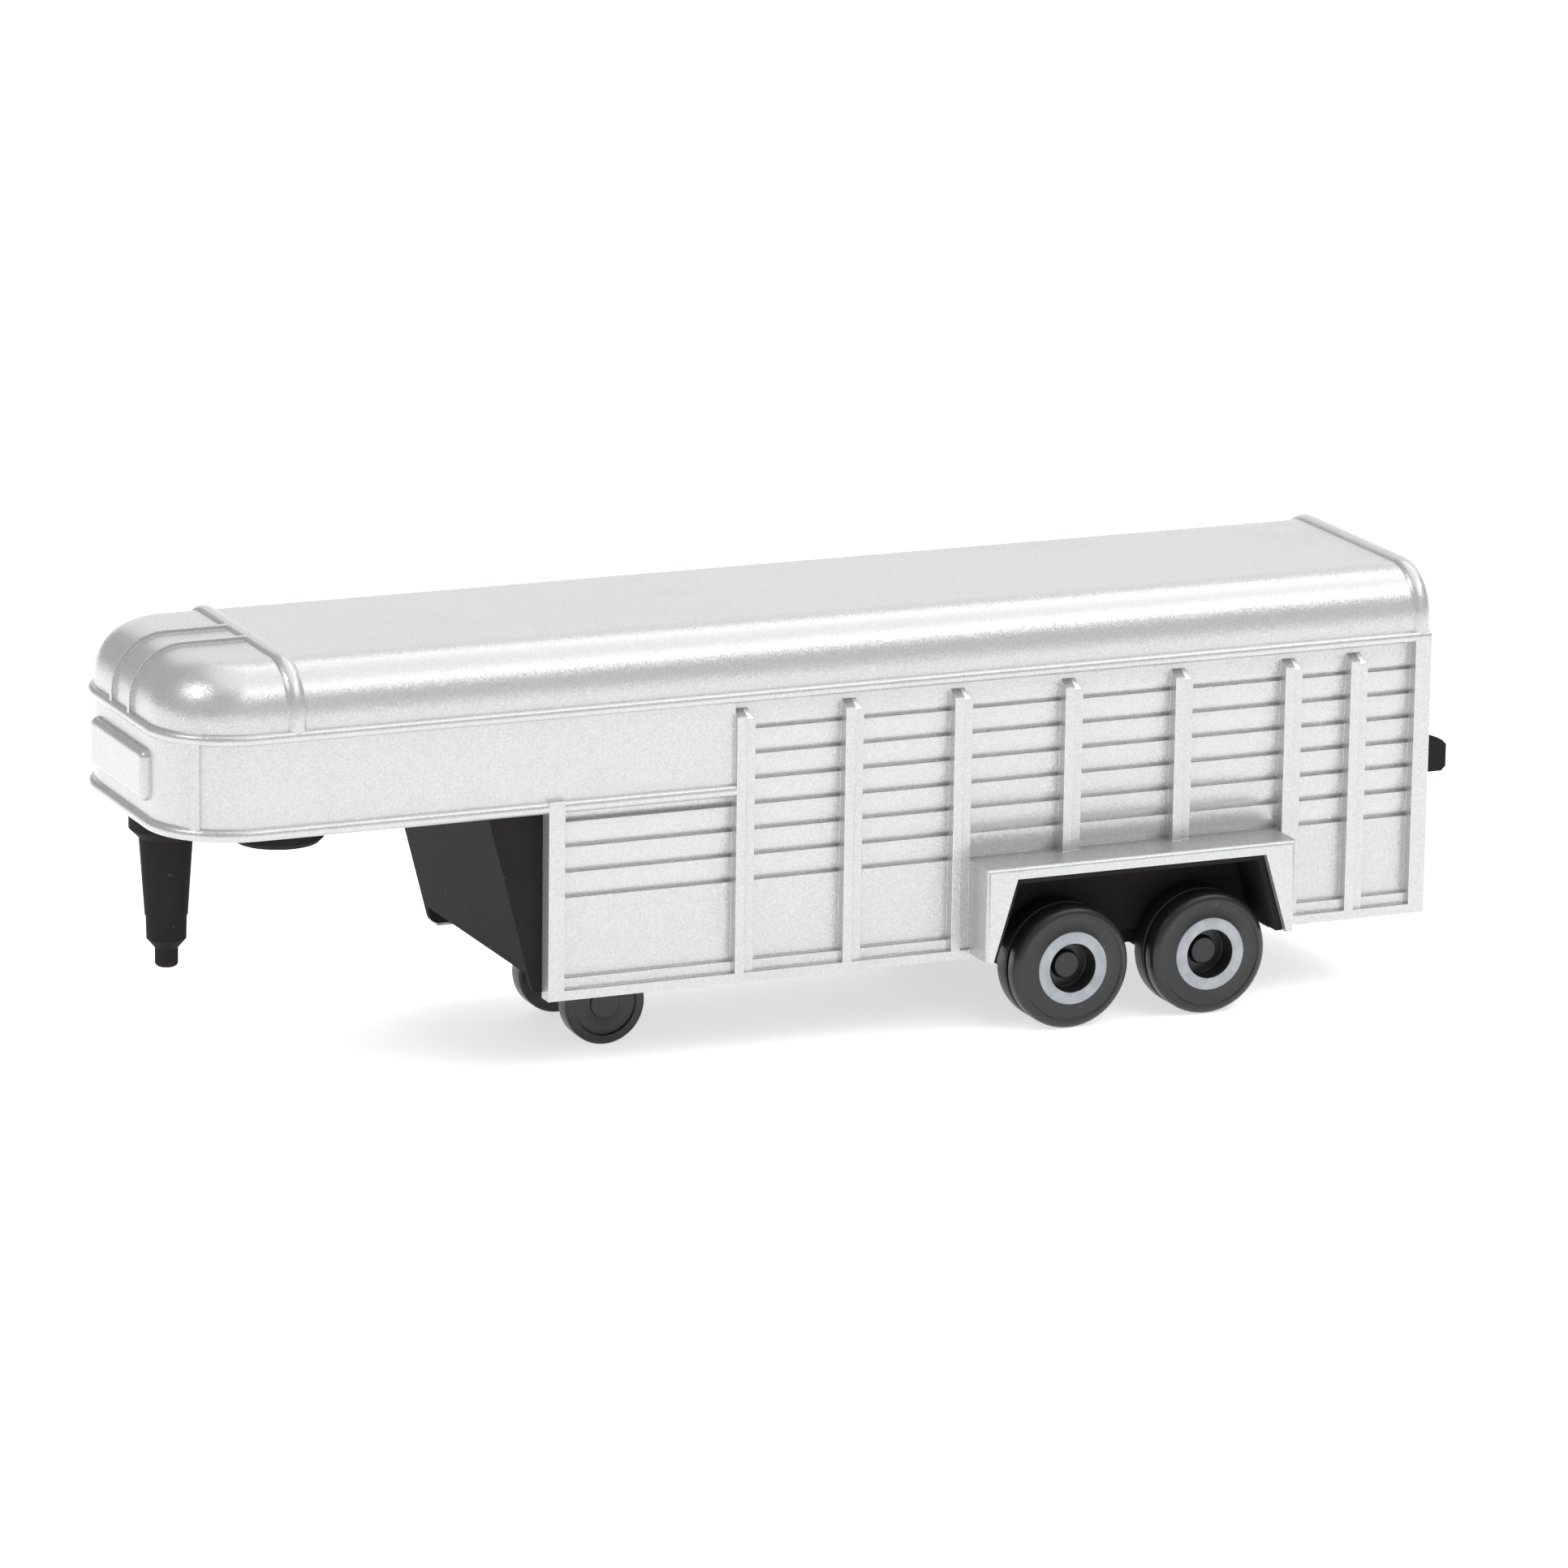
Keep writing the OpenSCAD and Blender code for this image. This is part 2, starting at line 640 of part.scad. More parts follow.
// The gate: a louvred plate on a knuckle, with a thumb tab at its free edge
module tail_gate() {
    w = gate_open_y - gate_gap;
    low = gate_open_low + gate_gap;
    top = gate_open_top - gate_gap;
    corner_r = gate_open_r - gate_gap;
    swing_relief = 3.4;
    stile = 1.6;
    pitch = 3.6;
    pockets = floor((top - low - 5)/pitch);
    tab_y = w - 1.4;
    color(black) place() difference() {
        union() {
            intersection() {
                translate([gate_x, 0, low]) rotate([90, 0, 90]) linear_extrude(gate_t) {
                    shoulder(w, top - low, corner_r);
                    mirror([1, 0]) shoulder(w, top - low, corner_r + swing_relief);
                }
                span([-1, 3], [hinge_y, w], [0, roof_h]);
            }
            translate([hinge_x, hinge_y, low]) cylinder(r = knuckle_r, h = knuckle_top - low);
            translate([0, tab_y + 1.2, 0]) rotate([90, 0, 0]) linear_extrude(1.2)
                polygon([[gate_x + 0.3, tab_low], [-tab_out + 0.5, tab_low], [-tab_out, tab_low + 0.5],
                    [-tab_out, tab_low + tab_tip_h - 0.5], [-tab_out + 0.5, tab_low + tab_tip_h],
                    [gate_x + 0.3, tab_low + tab_root_h]]);
        }
        for (i = [0:pockets - 1], ys = [[hinge_y + 2, -stile/2], [stile/2, w - 2.6]])
            translate([0, ys[0], low + 2 + i*pitch]) rotate([90, 0, 0]) mirror([0, 0, 1])
                linear_extrude(ys[1] - ys[0])
                    polygon([[gate_x - 1, 0], [gate_x + 0.6, 0], [gate_x, 2], [gate_x - 1, 2]]);
        translate([hinge_x, hinge_y, low - 1]) cylinder(d = hinge_d + 2*run_gap, h = roof_h);
    }
}

module gate_hinge_pin() {
    color(steel) place() translate([hinge_x, hinge_y, 0.1]) cylinder(d = hinge_d, h = hinge_pin_top - 0.2);
}

module axle(x, z, d, reach) {
    color(steel) place() translate([x, 0, z]) rotate([90, 0, 0]) cylinder(d = d, h = 2*reach, center = true);
}

axle_reach = wheel_out_y - 2.3;
module front_axle() { axle(axle_xs[1], axle_z, axle_d, axle_reach); }
module rear_axle() { axle(axle_xs[0], axle_z, axle_d, axle_reach); }
module support_axle() { axle(dolly_x, dolly_z, dolly_axle_d, dolly_in_y + dolly_w - 0.6); }

// A twin-tread wheel: its outer face has a raised ring round a deep hub recess
module main_wheel() {
    r = wheel_r;
    w = wheel_w;
    ring_r = 0.56*r;
    hub_r = 0.38*r;
    groove = [0.46*w, 0.6*w];
    color(black) difference() {
        rotate_extrude() difference() {
            union() {
                translate([0, 0.4]) square([r, groove[0] - 0.4]);
                square([r - 0.4, 1]);
                translate([r - 0.4, 0.4]) circle(0.4);
                square([r - 0.9, w - 0.3]);
                translate([0, groove[1]]) square([r, w - 0.9 - groove[1]]);
                translate([r - 0.9, w - 0.9]) circle(0.9);
                square([r - 0.9, w - 0.12]);
            }
            translate([r - 1.05, w - 0.12]) square([0.25, 1]);
            translate([-r, -1]) square([r, w + 2]);
        }
        translate([0, 0, w - 2.4]) cylinder(r = hub_r, h = 3);
        translate([0, 0, -1]) cylinder(r = 0.62*r, h = 2);
        translate([0, 0, -1]) cylinder(d = axle_d + 0.02, h = w);
    }
    color(ring_grey) difference() {
        translate([0, 0, w - 0.4]) cylinder(r = ring_r, h = 0.4);
        translate([0, 0, w - 1]) cylinder(r = hub_r, h = 2);
    }
    color(black) difference() {
        union() {
            translate([0, 0, 0.4]) cylinder(r = 0.2*r, h = w - 1.9);
            translate([0, 0, 0.9]) cylinder(r = hub_r + 0.1, h = w - 3.2);
        }
        translate([0, 0, -1]) cylinder(d = axle_d + 0.02, h = w - 1.2);
    }
}

module wheel_at(x, side) {
    place() translate([x, side*wheel_in_y, axle_z]) rotate([-90*side, 0, 0]) main_wheel();
}

module wheel_front_left() { wheel_at(axle_xs[1], 1); }
module wheel_front_right() { wheel_at(axle_xs[1], -1); }
module wheel_rear_left() { wheel_at(axle_xs[0], 1); }
module wheel_rear_right() { wheel_at(axle_xs[0], -1); }

module support_wheel(side) {
    r = dolly_d/2;
    color(black) place() translate([dolly_x, side*dolly_in_y, dolly_z]) rotate([-90*side, 0, 0])
        rotate_extrude() difference() {
            union() {
                translate([0, 0.3]) square([r, dolly_w - 0.6]);
                square([r - 0.3, dolly_w]);
                for (z = [0.3, dolly_w - 0.3]) translate([r - 0.3, z]) circle(0.3);
            }
            translate([1.6, dolly_w - 0.3]) square([r - 2.6, 1]);
            translate([-r, -1]) square([r + dolly_axle_d/2 + 0.01, dolly_w + 0.5]);
            translate([-r, -1]) square([r, dolly_w + 2]);
        }
}

module support_wheel_left() { support_wheel(1); }
module support_wheel_right() { support_wheel(-1); }

// Rivets that hold the floor pan and the nose base: head below, peened end above
module base_rivets() {
    module rivet(x, z, grip) {
        translate([x, 0, z - rivet_head_t]) cylinder(r1 = rivet_head_r - 0.4, r2 = rivet_head_r, h = rivet_head_t);
        translate([x, 0, z - 0.01]) cylinder(r = rivet_r - 0.02, h = grip + 0.02);
        translate([x, 0, z + grip]) cylinder(r1 = rivet_r + peen_out, r2 = rivet_r, h = peen_h);
    }
    color(steel) place() {
        for (x = rivet_xs) rivet(x, floor_low, floor_t - peen_h);
        rivet(boss_x, boss_h + rivet_head_t + 0.3, nose_plate_top - boss_h - rivet_head_t - 0.3);
    }
}

body_shell();
floor_pan();
bulkhead();
nose_base();
hitch_post();
wheel_liner_left();
wheel_liner_right();
axle_carrier();
support_bracket();
tail_gate();
gate_hinge_pin();
front_axle();
rear_axle();
support_axle();
wheel_front_left();
wheel_front_right();
wheel_rear_left();
wheel_rear_right();
support_wheel_left();
support_wheel_right();
base_rivets();
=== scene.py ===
# Gooseneck livestock trailer, a 1:64 toy: a silver die-cast shell on black plastic mouldings.
# After camera and studio, the sections follow the toy: shell, mouldings, axles, wheels.
import math

import bpy
from mathutils import Matrix, Vector


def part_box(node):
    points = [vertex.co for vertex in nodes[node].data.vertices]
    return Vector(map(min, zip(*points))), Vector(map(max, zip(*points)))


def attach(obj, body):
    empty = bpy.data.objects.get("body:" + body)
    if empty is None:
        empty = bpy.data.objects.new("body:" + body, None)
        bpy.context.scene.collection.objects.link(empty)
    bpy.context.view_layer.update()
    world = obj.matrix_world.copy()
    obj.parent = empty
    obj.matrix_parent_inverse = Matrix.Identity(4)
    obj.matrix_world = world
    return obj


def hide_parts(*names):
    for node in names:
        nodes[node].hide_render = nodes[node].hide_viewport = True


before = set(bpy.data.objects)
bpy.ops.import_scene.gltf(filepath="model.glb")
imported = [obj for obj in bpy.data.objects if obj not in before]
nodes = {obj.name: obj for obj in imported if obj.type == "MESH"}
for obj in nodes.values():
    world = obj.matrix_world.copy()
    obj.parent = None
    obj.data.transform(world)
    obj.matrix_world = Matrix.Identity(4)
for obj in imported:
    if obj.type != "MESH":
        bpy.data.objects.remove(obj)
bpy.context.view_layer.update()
MM = 0.001

# ---------------------------------------------------------------- camera
# A long lens, level with the roof and turned towards the nose on the trailer's left side.
aim = Vector((-1.55, 0, 23.91)) * MM
around = math.radians(23.60)
above = math.radians(14.28)
tilt = math.radians(0.777)
back = Vector((math.sin(around) * math.cos(above), math.cos(around) * math.cos(above), math.sin(above)))
side = Vector((-math.cos(around), math.sin(around), 0))
head = back.cross(side)
side_axis = side * math.cos(tilt) + head * math.sin(tilt)
head_axis = head * math.cos(tilt) - side * math.sin(tilt)
camera = bpy.data.objects.new("camera", bpy.data.cameras.new("camera"))
bpy.context.scene.collection.objects.link(camera)
camera.data.sensor_width = 36
camera.data.lens = 191.2
camera.data.clip_start = 0.05
camera.data.clip_end = 20
turn = Matrix((side_axis, head_axis, back)).transposed().to_4x4()
camera.matrix_world = Matrix.Translation(aim + back * 0.8715) @ turn
bpy.context.scene.camera = camera


# ---------------------------------------------------------------- studio
# A white table under soft boxes: a wide one overhead, two strips along the roof, one over the
# nose, and two weak ones for the sides. The shell's rounded edges reflect them.
class Wire:
    """An output socket. Operators on it add Math nodes; node() adds any other node."""

    def __init__(self, tree, socket=None):
        self.tree = tree
        self.socket = socket

    def node(self, kind, inputs=None, out=0, **settings):
        made = self.tree.nodes.new(kind)
        for name, value in settings.items():
            setattr(made, name, value)
        for name, value in (inputs or {}).items():
            if isinstance(value, Wire):
                self.tree.links.new(value.socket, made.inputs[name])
            else:
                made.inputs[name].default_value = value
        return Wire(self.tree, made.outputs[out] if made.outputs else None)

    def maths(self, operation, first, second):
        return self.node("ShaderNodeMath", {0: first, 1: second}, operation=operation)

    def __add__(self, other):
        return self.maths("ADD", self, other)

    def __sub__(self, other):
        return self.maths("SUBTRACT", self, other)

    def __rsub__(self, other):
        return self.maths("SUBTRACT", other, self)

    def __mul__(self, other):
        return self.maths("MULTIPLY", self, other)

    __radd__ = __add__
    __rmul__ = __mul__

    def between(self, low, high):
        """0 below low, 1 above high, smooth in between."""
        return self.node("ShaderNodeMapRange", {"Value": self, "From Min": low, "From Max": high},
                         interpolation_type="SMOOTHSTEP")

    def blend(self, first, second):
        """first where this is 0 and second where it is 1, both colours."""
        return self.node("ShaderNodeMix", {0: self, 6: first, 7: second}, out=2, data_type="RGBA")


def new_finish(name):
    """An empty material, the wire to build on, and a function that ends it in a surface."""
    material = bpy.data.materials.new(name)
    material.use_nodes = True
    tree = material.node_tree
    tree.nodes.clear()
    start = Wire(tree)

    def surface(sockets):
        shader = start.node("ShaderNodeBsdfPrincipled", sockets)
        start.node("ShaderNodeOutputMaterial", {"Surface": shader})
        return material

    return start, surface


def deselect():
    bpy.ops.object.select_all(action="DESELECT")


def soft_box(name, direction, distance, width, height, radiance):
    """A rectangular light, in metres, that faces the trailer from a direction."""
    lamp = bpy.data.lights.new(name, "AREA")
    lamp.shape = "RECTANGLE"
    lamp.size = width
    lamp.size_y = height
    lamp.energy = radiance * math.pi * width * height
    holder = bpy.data.objects.new(name, lamp)
    bpy.context.scene.collection.objects.link(holder)
    away = Vector(direction).normalized()
    holder.location = aim + away * distance
    holder.rotation_mode = "QUATERNION"
    holder.rotation_quaternion = (-away).to_track_quat("-Z", "Y")


bpy.context.scene.view_settings.view_transform = "Standard"
world = bpy.data.worlds.new("room")
bpy.context.scene.world = world
world.use_nodes = True
room_light = world.node_tree.nodes["Background"].inputs
room_light["Color"].default_value = (0.98, 0.99, 1.0, 1)
room_light["Strength"].default_value = 0.42

soft_box("wall_light", (-0.55, -0.80, 0.36), 1.1, 1.5, 0.9, 0.7)
soft_box("ceiling_light", (-0.30, 0.05, 0.95), 1.2, 1.5, 1.5, 1.12)
soft_box("roof_light_back", (-0.39, -0.38, 0.84), 0.9, 0.9, 0.17, 2.0)
soft_box("roof_light_front", (-0.39, 0.535, 0.75), 0.9, 0.9, 0.26, 2.2)
soft_box("nose_light", (0.684, 0.077, 0.726), 0.9, 0.3, 0.3, 6.0)
soft_box("front_light", (-0.15, 0.95, 0.22), 1.6, 2.0, 0.8, 0.2)

deselect()
bpy.ops.mesh.primitive_grid_add(x_subdivisions=8, y_subdivisions=8, size=6, location=(0, 0, 0))
table = bpy.context.object
table.name = "table"
start, surface = new_finish("white_table")
place = start.node("ShaderNodeTexCoord", out="Object")
cloud = start.node("ShaderNodeTexNoise", {"Vector": place, "Scale": 2.0}, out="Fac")
shade = cloud.blend((0.90, 0.90, 0.90, 1), (0.93, 0.93, 0.93, 1))
table.data.materials.append(surface({"Base Color": shade, "Roughness": 0.75, "Specular IOR Level": 0.15,
                                     "Emission Color": (1, 1, 1, 1), "Emission Strength": 0.63}))


# ---------------------------------------------------------------- body shell
# The shell is one zinc casting: nose, roof, louvred sides and fenders. It is sprayed with
# silver lacquer, whose metal flakes glitter, and which softens every cast edge.
def own_copy(node, name):
    """A piece of its own with a CAD node's shape, its flat faces whole."""
    deselect()
    piece = nodes[node].copy()
    piece.data = nodes[node].data.copy()
    piece.name = name
    for key in list(piece.keys()):
        del piece[key]
    piece.parent = None
    bpy.context.scene.collection.objects.link(piece)
    bpy.context.view_layer.objects.active = piece
    piece.select_set(True)
    bpy.ops.object.mode_set(mode="EDIT")
    bpy.ops.mesh.select_all(action="SELECT")
    bpy.ops.mesh.customdata_custom_splitnormals_clear()
    bpy.ops.mesh.remove_doubles(threshold=0.000001)
    bpy.ops.mesh.dissolve_limited(angle_limit=math.radians(0.2))
    bpy.ops.object.mode_set(mode="OBJECT")
    piece.data.materials.clear()
    return piece


def round_fenders(piece, radius):
    """Rounds the top and end edges of both fenders' outer faces."""
    corners = [vertex.co for vertex in piece.data.vertices]
    outer = max(co.y for co in corners)
    rim = [co for co in corners if abs(co.y) > outer - 0.01 * MM]
    top = max(co.z for co in rim)
    ends = (min(co.x for co in rim), max(co.x for co in rim))
    bpy.ops.object.mode_set(mode="EDIT")
    bpy.ops.mesh.select_mode(type="EDGE")
    bpy.ops.mesh.select_all(action="DESELECT")
    bpy.ops.object.mode_set(mode="OBJECT")
    for edge in piece.data.edges:
        pair = [corners[i] for i in edge.vertices]
        outside = all(abs(co.y) > outer - 0.01 * MM for co in pair)
        along_top = all(co.z > top - 0.01 * MM for co in pair)
        at_end = any(all(abs(co.x - end) < 0.01 * MM for co in pair) for end in ends)
        edge.select = outside and (along_top or at_end)
    bpy.ops.object.mode_set(mode="EDIT")
    bpy.ops.mesh.bevel(offset=radius, segments=4)
    bpy.ops.object.mode_set(mode="OBJECT")


def smooth(piece):
    """Shades the rounded stretches smooth and leaves the large flat faces flat."""
    bpy.ops.object.shade_smooth_by_angle(angle=math.radians(28))
    weights = piece.modifiers.new("weights", "WEIGHTED_NORMAL")
    weights.keep_sharp = True
    weights.weight = 100
    bpy.ops.object.modifier_apply(modifier=weights.name)


def silver_lacquer():
    """Each flake tilts its own way; sharp edges get a painted highlight, a lighter tone along them where
    light would catch them.
    """
    start, surface = new_finish("silver_lacquer")
    place = start.node("ShaderNodeTexCoord", out="Object")
    flakes = start.node("ShaderNodeTexVoronoi", {"Vector": place, "Scale": 9000.0}, out="Color")
    spread = start.node("ShaderNodeSeparateColor", {"Color": flakes}, out="Red")
    cloud = start.node("ShaderNodeTexNoise", {"Vector": place, "Scale": 260.0, "Detail": 3.0}, out="Fac")
    grime = start.node("ShaderNodeTexNoise", {"Vector": place, "Scale": 55.0, "Detail": 4.0}, out="Fac")
    sparkle = spread.between(0.90, 1.0)
    edge = start.node("ShaderNodeBevel", {"Radius": 0.1 * MM}, out="Normal", samples=6)
    face = start.node("ShaderNodeNewGeometry", out="Normal")
    agree = start.node("ShaderNodeVectorMath", {0: edge, 1: face}, out="Value", operation="DOT_PRODUCT")
    # Painted highlight: the tone is made lighter along sharp edges, where the rounded-edge normal turns
    # away from the face normal.
    painted_edge_highlight = (1.0 - agree).between(0.02, 0.2)
    stain = 0.03 * grime.between(0.55, 0.8)
    tone = 0.505 + 0.11 * spread + 0.03 * (cloud - 0.5) - stain + 0.3 * painted_edge_highlight
    shades = {"Red": tone, "Green": tone * 1.008, "Blue": tone * 1.006}
    colour = start.node("ShaderNodeCombineColor", shades)
    tip = start.node("ShaderNodeVectorMath", {0: flakes, 1: (0.5, 0.5, 0.5)}, operation="SUBTRACT")
    tip = start.node("ShaderNodeVectorMath", {0: tip, "Scale": 0.11}, operation="SCALE")
    facing = start.node("ShaderNodeVectorMath", {0: edge, 1: tip}, operation="ADD")
    facing = start.node("ShaderNodeVectorMath", {0: facing}, operation="NORMALIZE")
    return surface({"Base Color": colour, "Metallic": 0.58, "Normal": facing,
                    "Roughness": 0.33 - 0.10 * sparkle,
                    "Coat Weight": 0.08, "Coat Roughness": 0.2})


shell = own_copy("body_shell", "shell")
round_fenders(shell, 0.45 * MM)
smooth(shell)
shell.data.materials.append(silver_lacquer())
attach(shell, "trailer")
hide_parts("body_shell")


# ---------------------------------------------------------------- black mouldings
# Floor pan, bulkhead, nose base, hitch post, wheel liners, axle blocks and tail gate are
# injection moulded in black plastic with a satin, slightly mottled skin.
def black_moulding(name, colour, roughness, grain, specular):
    """Satin plastic: faintly clouded, finely grained, with a little lint on it."""
    start, surface = new_finish(name)
    place = start.node("ShaderNodeTexCoord", out="Object")
    cloud = start.node("ShaderNodeTexNoise", {"Vector": place, "Scale": 180.0, "Detail": 4.0}, out="Fac")
    skin = start.node("ShaderNodeTexNoise", {"Vector": place, "Scale": 5200.0, "Detail": 2.0}, out="Fac")
    lint = start.node("ShaderNodeTexNoise", {"Vector": place, "Scale": 1400.0, "Detail": 1.0}, out="Fac")
    edge = start.node("ShaderNodeBevel", {"Radius": 0.12 * MM}, out="Normal", samples=6)
    grained = {"Height": skin, "Distance": 0.01 * MM, "Strength": grain, "Normal": edge}
    relief = start.node("ShaderNodeBump", grained, out="Normal")
    dark = tuple(0.9 * c for c in colour)
    pale = tuple(1.12 * c for c in colour)
    body = cloud.between(0.3, 0.75).blend((*dark, 1), (*pale, 1))
    dusty = (0.25 * lint.between(0.72, 0.8)).blend(body, (0.16, 0.155, 0.15, 1))
    sheen = roughness + 0.14 * (cloud - 0.5)
    return surface({"Base Color": dusty, "Roughness": sheen, "Normal": relief,
                    "Specular IOR Level": specular})


satin_black = black_moulding("satin_black", (0.025, 0.0228, 0.0222), 0.6, 0.5, 0.03)
for node in ("floor_pan", "bulkhead", "nose_base", "hitch_post", "wheel_liner_left",
             "wheel_liner_right", "axle_carrier", "support_bracket", "tail_gate"):
    nodes[node].data.materials.clear()
    nodes[node].data.materials.append(satin_black)


# ---------------------------------------------------------------- axles, hinge pin and rivets
# Bright drawn wire, cut to length; the rivets' upper ends are peened over.
def drawn_steel(name, tone, roughness):
    """Bare metal with fine streaks along Y."""
    start, surface = new_finish(name)
    place = start.node("ShaderNodeTexCoord", out="Object")
    long_grain = start.node("ShaderNodeMapping", {"Vector": place, "Scale": (1.0, 0.05, 1.0)})
    lines = {"Vector": long_grain, "Scale": 4000.0, "Detail": 3.0}
    streak = start.node("ShaderNodeTexNoise", lines, out="Fac")
    dull = (0.8 * tone, 0.8 * tone, 0.82 * tone, 1)
    bright = (1.15 * tone, 1.15 * tone, 1.17 * tone, 1)
    shade = streak.blend(dull, bright)
    return surface({"Base Color": shade, "Metallic": 1.0, "Roughness": roughness + 0.2 * (streak - 0.5)})


bright_wire = drawn_steel("bright_wire", 0.55, 0.28)
for node in ("front_axle", "rear_axle", "support_axle", "gate_hinge_pin", "base_rivets"):
    nodes[node].data.materials.clear()
    nodes[node].data.materials.append(bright_wire)


# ---------------------------------------------------------------- main wheels
# Each main wheel is one black plastic moulding: two treads with a groove between them, a
# raised ring printed light grey, and a deep hub recess round a boss. It is pressed on its axle.
def turned(name, profile, steps=96):
    """A solid of revolution about Y: a disc at the first point is drawn out through the rest.

    The points are (radius, distance along Y), in millimetres."""
    deselect()
    radius, height = profile[0]
    bpy.ops.mesh.primitive_circle_add(vertices=steps, radius=radius * MM, fill_type="NGON",
                                      location=(0, height * MM, 0), rotation=(math.pi / 2, 0, 0))
    piece = bpy.context.object
    piece.name = name
    bpy.ops.object.transform_apply(location=True, rotation=True, scale=False)
    bpy.ops.object.mode_set(mode="EDIT")
    bpy.ops.mesh.select_all(action="SELECT")
    for (r0, y0), (r1, y1) in zip(profile, profile[1:]):
        bpy.ops.mesh.extrude_region_move(TRANSFORM_OT_translate={"value": (0, (y1 - y0) * MM, 0)})
        bpy.ops.transform.resize(value=(r1 / r0, 1, r1 / r0), center_override=(0, y1 * MM, 0))
    bpy.ops.mesh.select_all(action="SELECT")
    bpy.ops.mesh.normals_make_consistent(inside=False)
    bpy.ops.object.mode_set(mode="OBJECT")
    bpy.ops.object.shade_smooth_by_angle(angle=math.radians(32))
    return piece


def arc(radius, height, size, first, last, count=6):
    """Points on a rounding of the profile, its middle at (radius, height)."""
    angles = [math.radians(first + (last - first) * i / count) for i in range(count + 1)]
    return [(radius + size * math.cos(a), height + size * math.sin(a)) for a in angles]


def placed_copy(pattern, node, body):
    """The pattern's own copy, moved to where a wheel node is, its outer face outwards."""
    low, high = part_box(node)
    middle = (low + high) / 2
    left = middle.y > 0
    piece = pattern.copy()
    piece.data = pattern.data.copy()
    piece.name = node.replace("wheel", "tyre")
    bpy.context.scene.collection.objects.link(piece)
    spin = Matrix.Identity(4) if left else Matrix.Rotation(math.pi, 4, "Z")
    piece.data.transform(Matrix.Translation((middle.x, low.y if left else high.y, middle.z)) @ spin)
    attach(piece, body)
    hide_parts(node)
    return piece


low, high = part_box("wheel_front_left")
TYRE_R = (high.z - low.z) / 2 / MM
TYRE_W = (high.y - low.y) / MM
BORE = 0.8
BOSS = 0.22 * TYRE_R
HOLLOW = 0.62 * TYRE_R
RING = (0.4 * TYRE_R, 0.59 * TYRE_R)
GROOVE = (0.46 * TYRE_W, 0.60 * TYRE_W)
GROOVE_R = TYRE_R - 0.86
TREAD_EDGE = 0.18
SHOULDER = 0.95
HUB_FLOOR = TYRE_W - 2.29
BOSS_TOP = TYRE_W - 1.5
back_hub = [(BORE - 0.02, HUB_FLOOR + 0.09), (BORE, 0.5), (BOSS - 0.1, 0.4), (BOSS, 0.5), (BOSS, 1.0),
            (HOLLOW, 1.0), (HOLLOW, 0.06), (HOLLOW + 0.06, 0)]
inner_tread = arc(TYRE_R - 0.55, 0.55, 0.55, -90, 0)
inner_tread += arc(TYRE_R - TREAD_EDGE, GROOVE[0] - TREAD_EDGE, TREAD_EDGE, 0, 90, 4)
groove = [(GROOVE_R + 0.04, GROOVE[0]), (GROOVE_R, GROOVE[0] + 0.1), (GROOVE_R, GROOVE[1] - 0.1),
          (GROOVE_R + 0.04, GROOVE[1])]
outer_tread = arc(TYRE_R - TREAD_EDGE, GROOVE[1] + TREAD_EDGE, TREAD_EDGE, -90, 0, 4)
outer_tread += arc(TYRE_R - SHOULDER, TYRE_W - SHOULDER - 0.02, SHOULDER, 0, 86, 9)
side_wall = [(TYRE_R - 0.98, TYRE_W - 0.05), (TYRE_R - 1.02, TYRE_W - 0.15), (TYRE_R - 1.2, TYRE_W - 0.16)]
raised_ring = [(RING[1] + 0.05, TYRE_W - 0.14), (RING[1], TYRE_W - 0.11), (RING[1] - 0.02, TYRE_W - 0.02),
               (RING[1] - 0.05, TYRE_W - 0.002), (RING[0] + 0.07, TYRE_W - 0.002),
               (RING[0] + 0.02, TYRE_W - 0.03), (RING[0], TYRE_W - 0.12)]
front_hub = [(RING[0] - 0.02, HUB_FLOOR + 0.14), (RING[0] - 0.15, HUB_FLOOR), (BOSS + 0.12, HUB_FLOOR),
             (BOSS, HUB_FLOOR + 0.09), (BOSS - 0.02, BOSS_TOP - 0.12), (BOSS - 0.1, BOSS_TOP - 0.02),
             (BOSS - 0.3, BOSS_TOP)]
tyre_profile = back_hub + inner_tread + groove + outer_tread + side_wall + raised_ring + front_hub
tyre = turned("tyre_pattern", tyre_profile)

wheel_black = black_moulding("wheel_black", (0.018, 0.0175, 0.0175), 0.3, 0.3, 0.45)


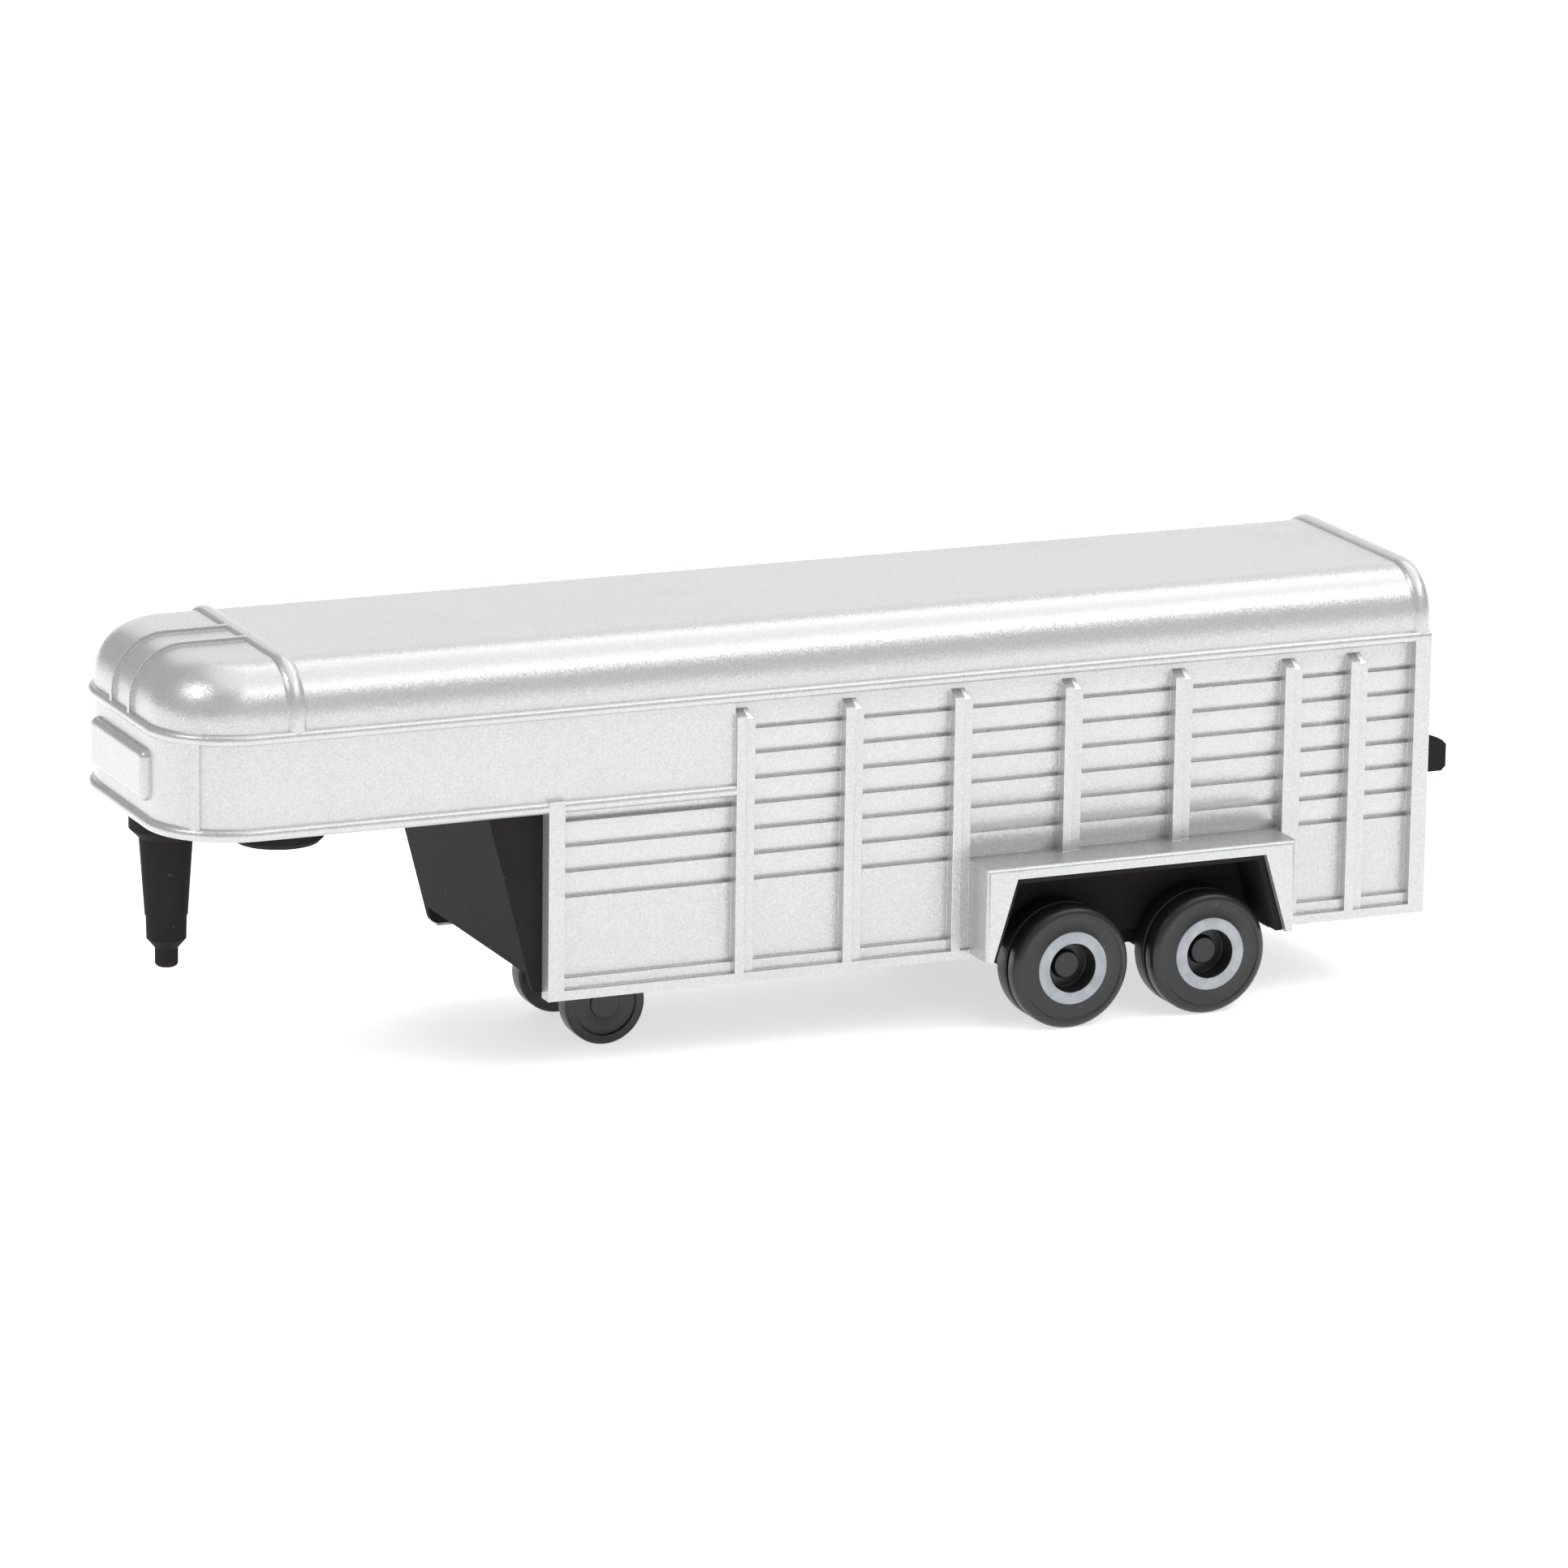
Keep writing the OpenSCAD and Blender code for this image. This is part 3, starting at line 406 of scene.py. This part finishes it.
def ring_print():
    """Pale grey ink, thin in places and specked where it missed the plastic."""
    start, surface = new_finish("ring_print")
    place = start.node("ShaderNodeTexCoord", out="Object")
    dots = start.node("ShaderNodeTexNoise", {"Vector": place, "Scale": 3200.0, "Detail": 2.0}, out="Fac")
    thin = start.node("ShaderNodeTexNoise", {"Vector": place, "Scale": 700.0, "Detail": 3.0}, out="Fac")
    ink = thin.between(0.3, 0.7).blend((0.31, 0.33, 0.36, 1), (0.41, 0.43, 0.46, 1))
    worn = (0.55 * dots.between(0.68, 0.76)).blend(ink, (0.2, 0.2, 0.21, 1))
    film = {"Height": dots, "Distance": 0.008 * MM, "Strength": 0.5}
    relief = start.node("ShaderNodeBump", film, out="Normal")
    return surface({"Base Color": worn, "Roughness": 0.42 + 0.2 * (thin - 0.5), "Normal": relief})


tyre.data.materials.append(wheel_black)
tyre.data.materials.append(ring_print())
for face in tyre.data.polygons:
    reach = math.hypot(face.center.x, face.center.z) / MM
    if RING[0] < reach < RING[1] and face.center.y > (TYRE_W - 0.09) * MM:
        face.material_index = 1
for node, body in (("wheel_front_left", "front_wheelset"), ("wheel_front_right", "front_wheelset"),
                   ("wheel_rear_left", "rear_wheelset"), ("wheel_rear_right", "rear_wheelset")):
    placed_copy(tyre, node, body)
bpy.data.objects.remove(tyre)

# ---------------------------------------------------------------- support wheels
# A pair of small plain wheels behind the bulkhead, on their own axle, carry the front when
# the trailer isn't hitched.
low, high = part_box("support_wheel_left")
SMALL_R = (high.z - low.z) / 2 / MM
SMALL_W = (high.y - low.y) / MM
CORNER = 0.3
HUB_R = 1.6
DISH = SMALL_W - 0.3
small_back = [(0.6, SMALL_W - 0.52), (0.62, 0.06), (0.68, 0.0)]
small_tread = arc(SMALL_R - CORNER, CORNER, CORNER, -90, 0, 5)
small_tread += arc(SMALL_R - CORNER, SMALL_W - CORNER, CORNER, 0, 90, 5)
small_rim = [(SMALL_R - 0.96, SMALL_W), (SMALL_R - 1.0, SMALL_W - 0.04), (SMALL_R - 1.02, DISH + 0.04),
             (SMALL_R - 1.1, DISH)]
small_hub = [(HUB_R + 0.1, DISH), (HUB_R + 0.02, DISH + 0.04), (HUB_R, SMALL_W - 0.05),
             (HUB_R - 0.08, SMALL_W), (0.3, SMALL_W)]
small_profile = small_back + small_tread + small_rim + small_hub
small_wheel = turned("small_pattern", small_profile, 72)
small_wheel.data.materials.append(wheel_black)
for node in ("support_wheel_left", "support_wheel_right"):
    placed_copy(small_wheel, node, "support_wheelset")
bpy.data.objects.remove(small_wheel)
